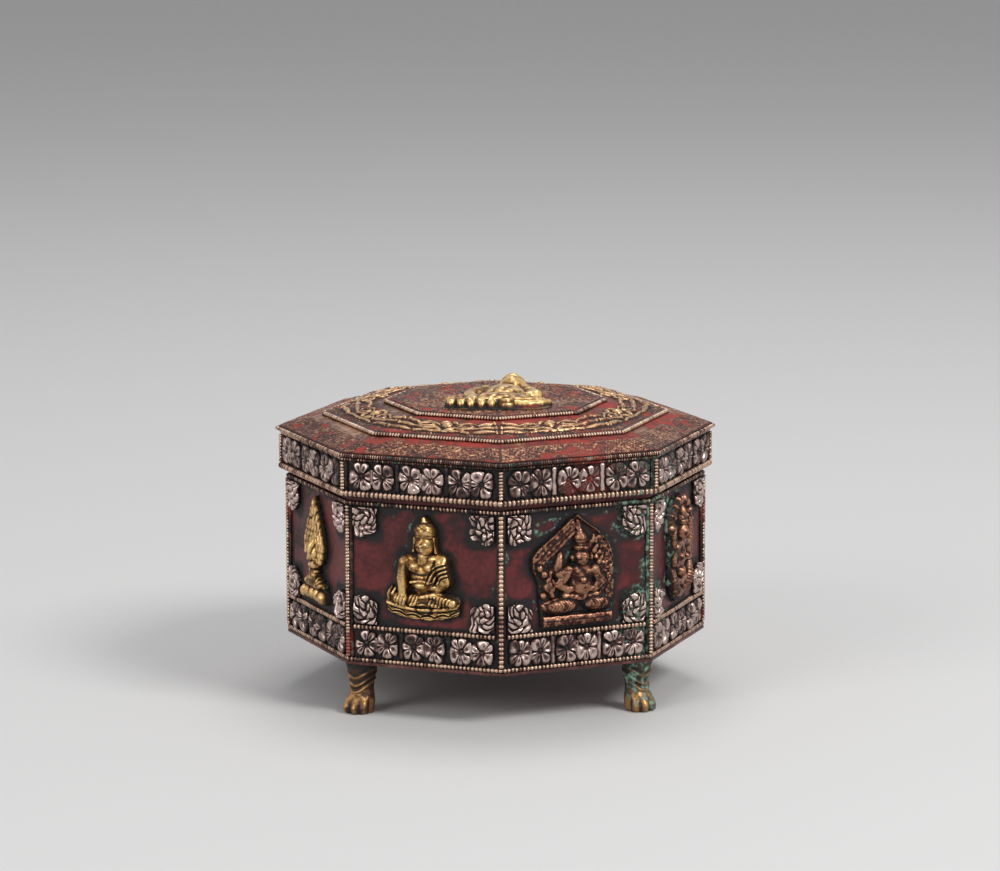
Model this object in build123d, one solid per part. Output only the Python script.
"""Octagonal footed amulet box with a lift-off lid, in millimetres.

The frame has +Z up and its origin on the floor, under the middle of the box.
One corner of the octagon points to -Y, so four faces are seen from the front.
"""

from build123d import *
import math
import os

# The octagon and the sheet that the box is made of
SIDES = 8
BODY_CORNER_RADIUS = 65.7
WALL = 1.0
BASE_THICKNESS = 0.9
BASE_FLANGE = 1.0

# The stack of levels on the body, from the floor upwards
FOOT_HEIGHT = 16.2
BASE_WIRE = 1.5
FLORET_BAND = 8.8
BAND_WIRE = 1.7
PANEL_HEIGHT = 37.3
LEDGE_WIRE = 1.5

# The lid: its skirt, rim and the steps of its roof
LID_GAP = 1.5
LID_CLEARANCE = 0.5
SKIRT_THICKNESS = 1.3
SKIRT_WIRE = 2.1
SKIRT_BAND = 9.0
TOP_WIRE = 1.2
RIM_OVERHANG = 1.4
RIM_THICKNESS = 1.5
RIM_WIRE = 1.2
RIM_SEAT = 3.0
ROOF_SHEET = 1.0
OUTER_TIER_WIDTH = 13.8
OUTER_TIER_RISE = 3.2
INNER_TIER_WIDTH = 18.1
INNER_TIER_RISE = 2.6
STEP_RISE = 1.2
TIER_WIRE = 1.4

# Trim soldered to the walls
WIRE_SEAT = 0.7
POST_WIDTH = 3.0
POST_THICKNESS = 0.7
POST_BEAD = 1.8
FLORETS_PER_FACE = 3
FLORET_PETALS = 6
FLORET_PLATE = 0.8
FLORET_RELIEF = 1.4
FLORET_CLEARANCE = 0.2
DIVIDER_WIDTH = 1.6
DIVIDER_THICKNESS = 0.5
LEAF_WIDTH = 8.0
LEAF_HEIGHT = 9.2
LEAF_PLATE = 0.7
LEAF_RELIEF = 1.4
LEAF_INSET = 0.4
FIGURE_CLEARANCE = 0.3
SEATED_SEAT = 24.0
SEATED_LIFT = 2.8
ARMED_SEAT = 23.0
ARMED_LIFT = 1.4
HALOED_SEAT = 17.0
HALOED_LIFT = 2.0
JEWEL_SEAT = 16.0
JEWEL_LIFT = 2.0
HEADROOM = 1.5
LID_FIGURE_WIDTH = 34.0
LID_FIGURE_TURN = -8.0
SCROLL_LENGTH = 24.0

# The lion-paw feet and the tenons that rivet them to the base
FOOT_INSET = 5.2
FOOT_TOP_WIDTH = 10.6
FOOT_TOP_DEPTH = 9.4
ANKLE_WIDTH = 7.6
ANKLE_DEPTH = 6.6
ANKLE_HEIGHT = 7.0
PAW_WIDTH = 9.0
PAW_LENGTH = 7.6
PAW_REACH = 6.2
TOES = 4
TOE_RADIUS = 1.6
CLAW_LIFT = 1.1
TENON_RADIUS = 2.0
TENON_CLEARANCE = 0.1
TENON_HEAD_RADIUS = 3.0
TENON_HEAD_HEIGHT = 1.0

# Everything below follows from the sizes above
HALF_TURN = 180 / SIDES
SQUARE = math.cos(math.radians(HALF_TURN))
FACE_APOTHEM = BODY_CORNER_RADIUS * SQUARE
FACE_WIDTH = 2 * BODY_CORNER_RADIUS * math.sin(math.radians(HALF_TURN))
FACE_CLEAR = FACE_WIDTH - POST_WIDTH
FOOT_RADIUS = BODY_CORNER_RADIUS - FOOT_INSET

BASE_Z = FOOT_HEIGHT
FLOOR_Z = BASE_Z + BASE_THICKNESS
FLORET_Z = FLOOR_Z + BASE_WIRE + FLORET_BAND / 2
BAND_Z = FLOOR_Z + BASE_WIRE + FLORET_BAND + BAND_WIRE / 2
PANEL_Z = BAND_Z + BAND_WIRE / 2
LEDGE_Z = PANEL_Z + PANEL_HEIGHT + LEDGE_WIRE / 2
SKIRT_Z = LEDGE_Z + LEDGE_WIRE / 2 + LID_GAP
SKIRT_FLORET_Z = SKIRT_Z + SKIRT_WIRE + SKIRT_BAND / 2
RIM_Z = SKIRT_Z + SKIRT_WIRE + SKIRT_BAND + TOP_WIRE
OUTER_TIER_Z = RIM_Z + RIM_THICKNESS + OUTER_TIER_RISE
INNER_TIER_Z = OUTER_TIER_Z + STEP_RISE + INNER_TIER_RISE
PLATEAU_Z = INNER_TIER_Z + STEP_RISE

SKIRT_APOTHEM = FACE_APOTHEM + LID_CLEARANCE + SKIRT_THICKNESS
SKIRT_CLEAR = 2 * SKIRT_APOTHEM * math.tan(math.radians(HALF_TURN)) - POST_WIDTH
RIM_APOTHEM = SKIRT_APOTHEM + RIM_OVERHANG
MID_APOTHEM = RIM_APOTHEM - OUTER_TIER_WIDTH
INNER_APOTHEM = MID_APOTHEM - INNER_TIER_WIDTH

FACES = {
    "front_left": -112.5,
    "front_right": -67.5,
    "right_front": -22.5,
    "right_back": 22.5,
    "back_right": 67.5,
    "back_left": 112.5,
    "left_back": 157.5,
    "left_front": -157.5,
}
CORNERS = {
    "front": -90,
    "front_right": -45,
    "right": 0,
    "back_right": 45,
    "back": 90,
    "back_left": 135,
    "left": 180,
    "front_left": -135,
}
FEET = ("front_left", "front_right", "back_right", "back_left")
LOW = (Align.CENTER, Align.CENTER, Align.MIN)


# Octagonal sheet metal


def octagon(apothem, z=0.0):
    """An eight-sided face at height z, given by its distance square to a side."""
    return Pos(0, 0, z) * RegularPolygon(apothem / SQUARE, SIDES)


def prism(apothem, low, high):
    return extrude(octagon(apothem, low), high - low)


def ring(outside, inside, low, high):
    return prism(outside, low, high) - prism(inside, low, high)


def face_plane(angle, apothem, z, lean=0.0):
    """A plane on one side of the octagon: x runs along the side and z points outwards.
    Lean tips the plane back from upright towards lying flat, in degrees."""
    turn, tip = math.radians(angle), math.radians(lean)
    outward = (math.cos(turn) * math.cos(tip), math.sin(turn) * math.cos(tip), math.sin(tip))
    along = (-math.sin(turn), math.cos(turn), 0)
    foot = (apothem * math.cos(turn), apothem * math.sin(turn), z)
    return Plane(origin=foot, x_dir=along, z_dir=outward)


def wire_profile(diameter):
    """A round wire's section with its back filed flat, so that it seats on a wall at x = 0."""
    radius = diameter / 2
    disc = Pos(WIRE_SEAT * radius, 0) * Circle(radius)
    return disc & (Pos(diameter, 0) * Rectangle(2 * diameter, 2 * diameter))


def wire_ring(apothem, z, diameter):
    """A wire bent round the octagon with mitred corners, soldered to a wall of that apothem."""
    path = octagon(apothem, z).face().outer_wire()
    side = path.edges()[0]
    middle = side.position_at(0.5)
    start = Plane(origin=middle, x_dir=Vector(middle.X, middle.Y, 0), z_dir=side.tangent_at(0.5))
    return sweep(start * wire_profile(diameter), path=path, transition=Transition.RIGHT)


# Small cast forms in relief: x to the right, y up and z out of the wall


def dome(x, y, radius, height):
    """The cap of a ball that stands that high over a round footprint on the wall."""
    ball = (radius**2 + height**2) / (2 * height)
    return [Pos(x, y, height - ball) * Sphere(ball)]


def ball(x, y, z, radius):
    return [Pos(x, y, z) * Sphere(radius)]


def limb(radius, *points):
    """A round limb with ball ends, bent at its points: one revolved capsule for each bone."""
    bones = []
    for a, b in zip(points, points[1:]):
        along = Vector(*b) - Vector(*a)
        length, slant = along.length, radius * math.sqrt(0.5)
        side = [
            Line((0, -radius), (0, length + radius)),
            ThreePointArc((0, length + radius), (slant, length + slant), (radius, length)),
            Line((radius, length), (radius, 0)),
            ThreePointArc((radius, 0), (slant, -slant), (0, -radius)),
        ]
        bones.append(Plane(origin=a, z_dir=along) * revolve(Plane.XZ * make_face(side), Axis.Z))
    return bones


def spire(x, y, z, radius, tip, height):
    """A cone that points up the wall."""
    return [Plane(origin=(x, y, z), z_dir=(0, 1, 0)) * Cone(radius, tip, height, align=LOW)]


def plate(outline, thickness):
    return [extrude(outline, thickness)]


def both(piece):
    """The pieces and their mirror image across the middle of the figure."""
    return piece + [mirror(p, about=Plane.YZ) for p in piece]


def cast(*groups):
    """Fuses the pieces one by one and files the back flat, so that it seats on a wall at z = 0."""
    pieces = sum(groups, [])
    whole = pieces[0]
    for piece in pieces[1:]:
        whole = whole.fuse(piece)
    return split(whole, bisect_by=Plane.XY, keep=Keep.TOP)


def pointed_arch(width, shoulder, height):
    """The outline of a pointed leaf or mandorla that stands on y = 0."""
    half = width / 2
    rise = height - shoulder
    right = ThreePointArc((0, 0), (half * 0.85, shoulder * 0.4), (half, shoulder))
    top = ThreePointArc((half, shoulder), (half * 0.62, shoulder + rise * 0.55), (0, height))
    return make_face([right, top, mirror(right, about=Plane.YZ), mirror(top, about=Plane.YZ)])


def round_arch(width, height):
    """The outline of a niche with a half-round top that stands on y = 0."""
    post = height - width / 2
    return Pos(0, post / 2) * Rectangle(width, post) + Pos(0, post) * Circle(width / 2)


# The figures: each stands on y = 0 in its own units and is fitted to its panel later


def lotus_seat(width):
    """A row of round petals under a cushion."""
    count = 9
    pitch = 0.86 * width / (count - 1)
    petals = []
    for i in range(count):
        x = (i - (count - 1) / 2) * pitch
        petals += dome(x, 2.3, 0.072 * width, 2.6)
    cushion = limb(1.8, (-0.41 * width, 4.8, 0.6), (0.41 * width, 4.8, 0.6))
    return petals + cushion


def seated_figure():
    """A figure seated with crossed legs, one hand reaching down and one in the lap."""
    legs = limb(2.4, (-8.3, 7.2, 1.4), (0, 6.6, 2.2), (8.3, 7.2, 1.4))
    torso = limb(4.4, (0, 11.5, -0.6), (0, 17.4, -0.8))
    shoulders = limb(2.4, (-4.6, 18.8, 0.6), (4.8, 18.8, 0.6))
    reaching_arm = limb(1.6, (-6, 18.4, 1.2), (-7.4, 13.2, 2), (-6.9, 7.6, 3))
    lap_arm = limb(1.6, (6, 18.4, 1.2), (7.4, 12.8, 2), (1.4, 10.8, 3.8))
    bowl = dome(0.6, 11.6, 2.6, 5)
    neck = limb(1.6, (0, 19.6, 0.8), (0, 22, 1))
    head = ball(0, 23.6, 1, 3.4) + ball(0, 27.2, 0.9, 2.7) + spire(0, 28.8, 0.7, 1.9, 0.4, 3.9)
    return cast(lotus_seat(SEATED_SEAT), legs, torso, shoulders, reaching_arm, lap_arm, bowl, neck, head)


def armed_mandorla():
    """The outline behind the armed figure: pointed above, with one corner out at the sword hand."""
    half = ARMED_SEAT / 2
    sides = [
        Line((0, 34.5), (-15.2, 23)),
        ThreePointArc((-15.2, 23), (-15.5, 19), (-13.2, 15.4)),
        Line((-13.2, 15.4), (-half, 0)),
        Line((-half, 0), (half, 0)),
        ThreePointArc((half, 0), (half + 1.4, 12), (half + 0.2, 24)),
        ThreePointArc((half + 0.2, 24), (7.2, 29.4), (0, 34.5)),
    ]
    return make_face(sides)


def armed_figure():
    """A seated figure with a raised sword and a fan of arms, in front of a pointed mandorla."""
    mandorla = plate(armed_mandorla(), 0.9)
    slab = plate(Pos(0, 1.7) * RectangleRounded(ARMED_SEAT, 3.4, 1.2), 3.2)
    knees = both(dome(6.2, 6.4, 4.6, 4.2))
    torso = limb(3.4, (0.8, 9, 0.3), (0.8, 16.4, 0.3))
    head = ball(0.8, 21.4, 1.6, 2.9) + spire(0.8, 23, 1.4, 2.4, 0.6, 6.4)
    sword_arm = limb(1.3, (-2.8, 17, 2), (-8, 16.2, 2), (-12.4, 21.4, 1.8))
    sword = limb(1, (-12.4, 22, 2), (-1.6, 31.4, 1.8))
    low_arm = limb(1.3, (-2.8, 15.4, 2), (-7.2, 11.6, 2.2), (-1.6, 13.4, 3.6))
    fan = []
    for x, y in ((7.6, 24.6), (10.2, 20.4), (10.8, 15.4), (9.6, 10.8)):
        fan += limb(1.2, (3.6, 15.6, 2), (x, y, 1.8))
    return cast(mandorla, slab, knees, torso, head, sword_arm, sword, low_arm, fan)


def haloed_figure():
    """A seated figure with a round halo in a niche, with a ribbon down each side."""
    niche = plate(round_arch(18, 33), 0.8)
    legs = limb(2.1, (-5.6, 7.2, 1), (0, 6.7, 1.8), (5.6, 7.2, 1))
    torso = limb(3.3, (0, 10, 0), (0, 15, 0))
    arms = both(limb(1.3, (4, 15.6, 1), (5.8, 11.2, 1.6), (1.2, 9.4, 3)))
    halo = dome(0, 20.6, 6, 1.7)
    head = ball(0, 20.2, 1.6, 2.8) + spire(0, 22, 1.4, 2.1, 0.5, 6.4)
    ribbons = both(limb(0.9, (8.2, 4, 0.8), (7, 11, 0.9), (8.4, 17, 0.8), (7.2, 23.6, 0.8)))
    return cast(niche, lotus_seat(HALOED_SEAT), legs, torso, arms, halo, head, ribbons)


def flaming_jewel():
    """Three jewels on a lotus, wrapped in tongues of flame."""
    flame = plate(Pos(0, 7.4) * pointed_arch(18, 10.5, 25.6), 1.1)
    collar = dome(0, 8.4, 5, 3.4)
    jewels = both(dome(3.1, 13.2, 3.2, 3.4)) + dome(0, 18, 3.2, 3.6)
    tongues = both(limb(0.9, (6.3, 11.4, 1.1), (7.2, 17.6, 1.1), (3.4, 24.4, 1.1)))
    tip = limb(0.9, (0, 22.4, 1.1), (0, 30.6, 0.9))
    return cast(lotus_seat(JEWEL_SEAT), flame, collar, jewels, tongues, tip)


def fit_figure(figure, seat, lift):
    """Sizes a figure to its panel: its height to the room, its seat to the gap between the leaves."""
    room = figure.bounding_box()
    high = (PANEL_HEIGHT - lift - HEADROOM) / room.size.Y
    wide = (FACE_CLEAR - 2 * (LEAF_INSET + LEAF_WIDTH + FIGURE_CLEARANCE)) / seat
    return scale(Pos(0, -room.min.Y) * figure, by=min(high, wide)), lift


# Florets, leaves and scrolls


def floret(clear, band):
    """Two six-petalled flowers side by side, joined by a bar, that fill a third of a face."""
    width = clear / FLORETS_PER_FACE - DIVIDER_WIDTH - 2 * FLORET_CLEARANCE
    height = band - 2 * FLORET_CLEARANCE
    across, up = width / 4, height / 2
    outline = Rectangle(0.1 * width, 0.6 * height)
    buttons = []
    for x in (-across, across):
        outline += Pos(x, 0) * Ellipse(0.6 * across, 0.6 * up)
        buttons += dome(x, 0, 0.36 * across, FLORET_RELIEF)
        for i in range(FLORET_PETALS):
            turn = (i + 0.5) * 2 * math.pi / FLORET_PETALS
            petal = Pos(x + 0.62 * across * math.cos(turn), 0.62 * up * math.sin(turn))
            outline += petal * Ellipse(0.38 * across, 0.38 * up)
    return cast(plate(outline, FLORET_PLATE), buttons)


def floret_row(clear, band):
    """The florets of one face with the plain dividers between them."""
    pitch = clear / FLORETS_PER_FACE
    flower = floret(clear, band)
    row = []
    for i in range(FLORETS_PER_FACE):
        row.append(Pos((i - (FLORETS_PER_FACE - 1) / 2) * pitch, 0) * flower)
    for i in range(FLORETS_PER_FACE - 1):
        bar = Box(DIVIDER_WIDTH, band, DIVIDER_THICKNESS, align=LOW)
        row.append(Pos((i - (FLORETS_PER_FACE - 2) / 2) * pitch, 0) * bar)
    return row


def corner_leaf(lower):
    """A scalloped leaf that fills a corner: a round boss above, a stem between two curls below."""

    def at(across, up):
        return across * LEAF_WIDTH, up * LEAF_HEIGHT

    outline = Pos(*at(0.4, 0.4)) * Rectangle(*at(0.8, 0.8))
    for lobe in ((0.84, 0.2), (0.85, 0.52), (0.8, 0.8), (0.5, 0.86), (0.18, 0.85)):
        outline += Pos(*at(*lobe)) * Circle(0.15 * LEAF_WIDTH)
    if lower:
        stem = limb(0.09 * LEAF_WIDTH, (*at(0.2, 0.2), LEAF_PLATE), (*at(0.74, 0.74), LEAF_PLATE))
        curls = dome(*at(0.66, 0.26), 0.16 * LEAF_WIDTH, LEAF_RELIEF)
        curls += dome(*at(0.26, 0.66), 0.16 * LEAF_WIDTH, LEAF_RELIEF)
        ornament = stem + curls
    else:
        ornament = dome(*at(0.44, 0.44), 0.22 * LEAF_WIDTH, LEAF_RELIEF)
    return cast(plate(outline, LEAF_PLATE), ornament)


def leaf_set():
    """The four leaves of one panel, measured from the panel's middle."""
    x = -FACE_CLEAR / 2 + LEAF_INSET
    y = -PANEL_HEIGHT / 2 + LEAF_INSET
    low = Pos(x, y) * corner_leaf(lower=True)
    high = mirror(Pos(x, y) * corner_leaf(lower=False), about=Plane.XZ)
    return [low, high, mirror(low, about=Plane.YZ), mirror(high, about=Plane.YZ)]


def tier_scroll():
    """A boss with a curling tendril on each side."""
    unit = SCROLL_LENGTH / 24
    path = ((1.6, -2.6), (6.4, -3.4), (10.4, -1), (10, 3), (6.6, 3.2), (6, 0.6))
    tendril = limb(0.9 * unit, *[(x * unit, y * unit, 0.2 * unit) for x, y in path])
    boss = dome(0, -1.2 * unit, 2.6 * unit, 1.6 * unit)
    return cast(boss, both(tendril))


# The body and its trim


def body_wall():
    return ring(FACE_APOTHEM, FACE_APOTHEM - WALL, FLOOR_Z, RIM_Z)


def foot_place(corner):
    return Rot(0, 0, CORNERS[corner]) * Pos(FOOT_RADIUS, 0, 0)


def base_plate():
    sheet = prism(FACE_APOTHEM + BASE_FLANGE, BASE_Z, FLOOR_Z)
    hole = Pos(0, 0, BASE_Z) * Cylinder(TENON_RADIUS + TENON_CLEARANCE, BASE_THICKNESS, align=LOW)
    for corner in FEET:
        sheet -= foot_place(corner) * hole
    return sheet


def corner_post(apothem, angle, low, high):
    """A folded strip on a corner with a round bead rod down its edge."""
    strip = ring(apothem + POST_THICKNESS, apothem, low, high)
    slot = Pos(apothem / SQUARE, 0, low) * Box(4 * POST_WIDTH, POST_WIDTH * SQUARE, high - low, align=LOW)
    rod = Pos((apothem + POST_THICKNESS) / SQUARE, 0, low) * Cylinder(POST_BEAD / 2, high - low, align=LOW)
    rod -= prism(apothem, low, high)
    return Rot(0, 0, angle) * ((strip & slot) + rod)


def band_wire(angle):
    """A straight wire across one face, from post to post."""
    face = face_plane(angle, FACE_APOTHEM, BAND_Z)
    start = Plane(origin=face.origin - face.x_dir * FACE_CLEAR / 2, x_dir=face.z_dir, z_dir=face.x_dir)
    return extrude(start * wire_profile(BAND_WIRE), FACE_CLEAR)


def lion_foot():
    """A lion-paw foot: a tapering leg, a spreading paw with four toes, and a riveted tenon."""

    def section(z, x, depth, width):
        return Pos(x, 0, z) * RectangleRounded(depth, width, 0.3 * min(depth, width))

    lean = (PAW_REACH - PAW_LENGTH / 2) / 2
    waist_depth = 0.25 * FOOT_TOP_DEPTH + 0.75 * ANKLE_DEPTH
    waist_width = 0.25 * FOOT_TOP_WIDTH + 0.75 * ANKLE_WIDTH
    ankle = section(ANKLE_HEIGHT, lean, ANKLE_DEPTH, ANKLE_WIDTH)
    waist = section((FOOT_HEIGHT + ANKLE_HEIGHT) / 2, lean / 2, waist_depth, waist_width)
    leg = loft([ankle, waist, section(FOOT_HEIGHT, 0, FOOT_TOP_DEPTH, FOOT_TOP_WIDTH)])
    middle = PAW_REACH - PAW_LENGTH / 2 - TOE_RADIUS / 2
    instep = section(ANKLE_HEIGHT / 2, middle, 0.9 * PAW_LENGTH, PAW_WIDTH)
    pad = loft([section(0, middle, PAW_LENGTH, PAW_WIDTH), instep, ankle])
    paw = [leg, pad]
    spread = PAW_WIDTH - 2 * TOE_RADIUS
    for i in range(TOES):
        side = (i / (TOES - 1) - 0.5) * spread
        tip = PAW_REACH - TOE_RADIUS
        paw += limb(TOE_RADIUS, (0, side, ANKLE_HEIGHT / 2), (tip, side, CLAW_LIFT))
    tenon = Pos(0, 0, FOOT_HEIGHT) * Cylinder(TENON_RADIUS, BASE_THICKNESS, align=LOW)
    head = Pos(0, 0, FLOOR_Z) * Cylinder(TENON_HEAD_RADIUS, TENON_HEAD_HEIGHT, align=LOW)
    head = chamfer(head.edges().sort_by(Axis.Z)[-1], TENON_HEAD_HEIGHT / 2)
    return cast(paw, [tenon, head])


# The lid


def lid_skirt():
    return ring(SKIRT_APOTHEM, SKIRT_APOTHEM - SKIRT_THICKNESS, SKIRT_Z, RIM_Z)


def stepped(levels):
    """An octagonal stack through pairs of apothem and height."""
    return loft([octagon(apothem, z) for apothem, z in levels], ruled=True)


def lid_top():
    """The rim and the two sloping tiers of the roof as one hollow sheet with a flat seat."""
    outside = stepped([
        (RIM_APOTHEM, RIM_Z),
        (RIM_APOTHEM, RIM_Z + RIM_THICKNESS),
        (MID_APOTHEM, OUTER_TIER_Z),
        (MID_APOTHEM, OUTER_TIER_Z + STEP_RISE),
        (INNER_APOTHEM, INNER_TIER_Z),
        (INNER_APOTHEM, PLATEAU_Z),
    ])
    seat = FACE_APOTHEM - RIM_SEAT
    slope = OUTER_TIER_RISE / OUTER_TIER_WIDTH
    eaves = RIM_Z + RIM_THICKNESS + slope * (RIM_APOTHEM - seat)
    hollow = stepped([
        (seat, RIM_Z),
        (seat, eaves - ROOF_SHEET),
        (MID_APOTHEM - ROOF_SHEET, OUTER_TIER_Z - ROOF_SHEET),
        (MID_APOTHEM - ROOF_SHEET, OUTER_TIER_Z + STEP_RISE - ROOF_SHEET),
        (INNER_APOTHEM - ROOF_SHEET, INNER_TIER_Z - ROOF_SHEET),
        (INNER_APOTHEM - ROOF_SHEET, PLATEAU_Z - ROOF_SHEET),
    ])
    return outside - hollow


def lid_figure(figure):
    """The seated figure lying on the plateau with its lotus towards the front."""
    room = figure.bounding_box()
    cast_figure = scale(Pos(0, -room.center().Y) * figure, by=LID_FIGURE_WIDTH / room.size.X)
    return Pos(0, 0, PLATEAU_Z) * Rot(0, 0, LID_FIGURE_TURN) * cast_figure


# The whole box, by node name


def group(solids):
    return Compound(children=list(solids))


def make_nodes():
    nodes = {"body_wall": body_wall(), "base_plate": base_plate()}
    foot = lion_foot()
    for corner in FEET:
        nodes[f"foot_{corner}"] = foot_place(corner) * foot
    for corner, angle in CORNERS.items():
        low, high = FLOOR_Z + BASE_WIRE, LEDGE_Z - LEDGE_WIRE / 2
        nodes[f"corner_post_{corner}"] = corner_post(FACE_APOTHEM, angle, low, high)
    nodes["base_wire"] = wire_ring(FACE_APOTHEM, FLOOR_Z + BASE_WIRE / 2, BASE_WIRE)
    nodes["ledge_wire"] = wire_ring(FACE_APOTHEM, LEDGE_Z, LEDGE_WIRE)
    nodes["band_wires"] = group(band_wire(angle) for angle in FACES.values())

    seated = seated_figure()
    turns = (
        fit_figure(seated, SEATED_SEAT, SEATED_LIFT),
        fit_figure(armed_figure(), ARMED_SEAT, ARMED_LIFT),
        fit_figure(haloed_figure(), HALOED_SEAT, HALOED_LIFT),
        fit_figure(flaming_jewel(), JEWEL_SEAT, JEWEL_LIFT),
    )
    leaves = leaf_set()
    florets = floret_row(FACE_CLEAR, FLORET_BAND)
    skirt_florets = floret_row(SKIRT_CLEAR, SKIRT_BAND)
    for i, (face, angle) in enumerate(FACES.items()):
        figure, lift = turns[i % len(turns)]
        nodes[f"figure_{face}"] = face_plane(angle, FACE_APOTHEM, PANEL_Z + lift).location * figure
        panel = face_plane(angle, FACE_APOTHEM, PANEL_Z + PANEL_HEIGHT / 2).location
        nodes[f"corner_leaves_{face}"] = group(panel * leaf for leaf in leaves)
        band = face_plane(angle, FACE_APOTHEM, FLORET_Z).location
        nodes[f"band_florets_{face}"] = group(band * piece for piece in florets)
        skirt = face_plane(angle, SKIRT_APOTHEM, SKIRT_FLORET_Z).location
        nodes[f"skirt_florets_{face}"] = group(skirt * piece for piece in skirt_florets)

    nodes["lid_skirt"] = lid_skirt()
    nodes["lid_top"] = lid_top()
    nodes["skirt_lower_wire"] = wire_ring(SKIRT_APOTHEM, SKIRT_Z + SKIRT_WIRE / 2, SKIRT_WIRE)
    nodes["skirt_upper_wire"] = wire_ring(SKIRT_APOTHEM, RIM_Z - TOP_WIRE / 2, TOP_WIRE)
    nodes["rim_wire"] = wire_ring(RIM_APOTHEM, RIM_Z + RIM_THICKNESS / 2, RIM_WIRE)
    nodes["tier_wire_outer"] = wire_ring(MID_APOTHEM, OUTER_TIER_Z + TIER_WIRE / 2, TIER_WIRE)
    nodes["tier_wire_inner"] = wire_ring(INNER_APOTHEM, INNER_TIER_Z + TIER_WIRE / 2, TIER_WIRE)
    low, high = SKIRT_Z + SKIRT_WIRE, RIM_Z - TOP_WIRE
    nodes["lid_corner_posts"] = group(
        corner_post(SKIRT_APOTHEM, angle, low, high) for angle in CORNERS.values()
    )
    slope = math.degrees(math.atan2(INNER_TIER_RISE, INNER_TIER_WIDTH))
    middle = (MID_APOTHEM + INNER_APOTHEM) / 2
    height = (OUTER_TIER_Z + STEP_RISE + INNER_TIER_Z) / 2
    scroll = tier_scroll()
    nodes["tier_scrolls"] = group(
        face_plane(angle, middle, height, lean=90 - slope).location * scroll for angle in FACES.values()
    )
    nodes["lid_figure"] = lid_figure(seated)
    return nodes


def main():
    os.makedirs("parts", exist_ok=True)
    for name, shape in make_nodes().items():
        export_step(shape, f"parts/{name}.step")


main()
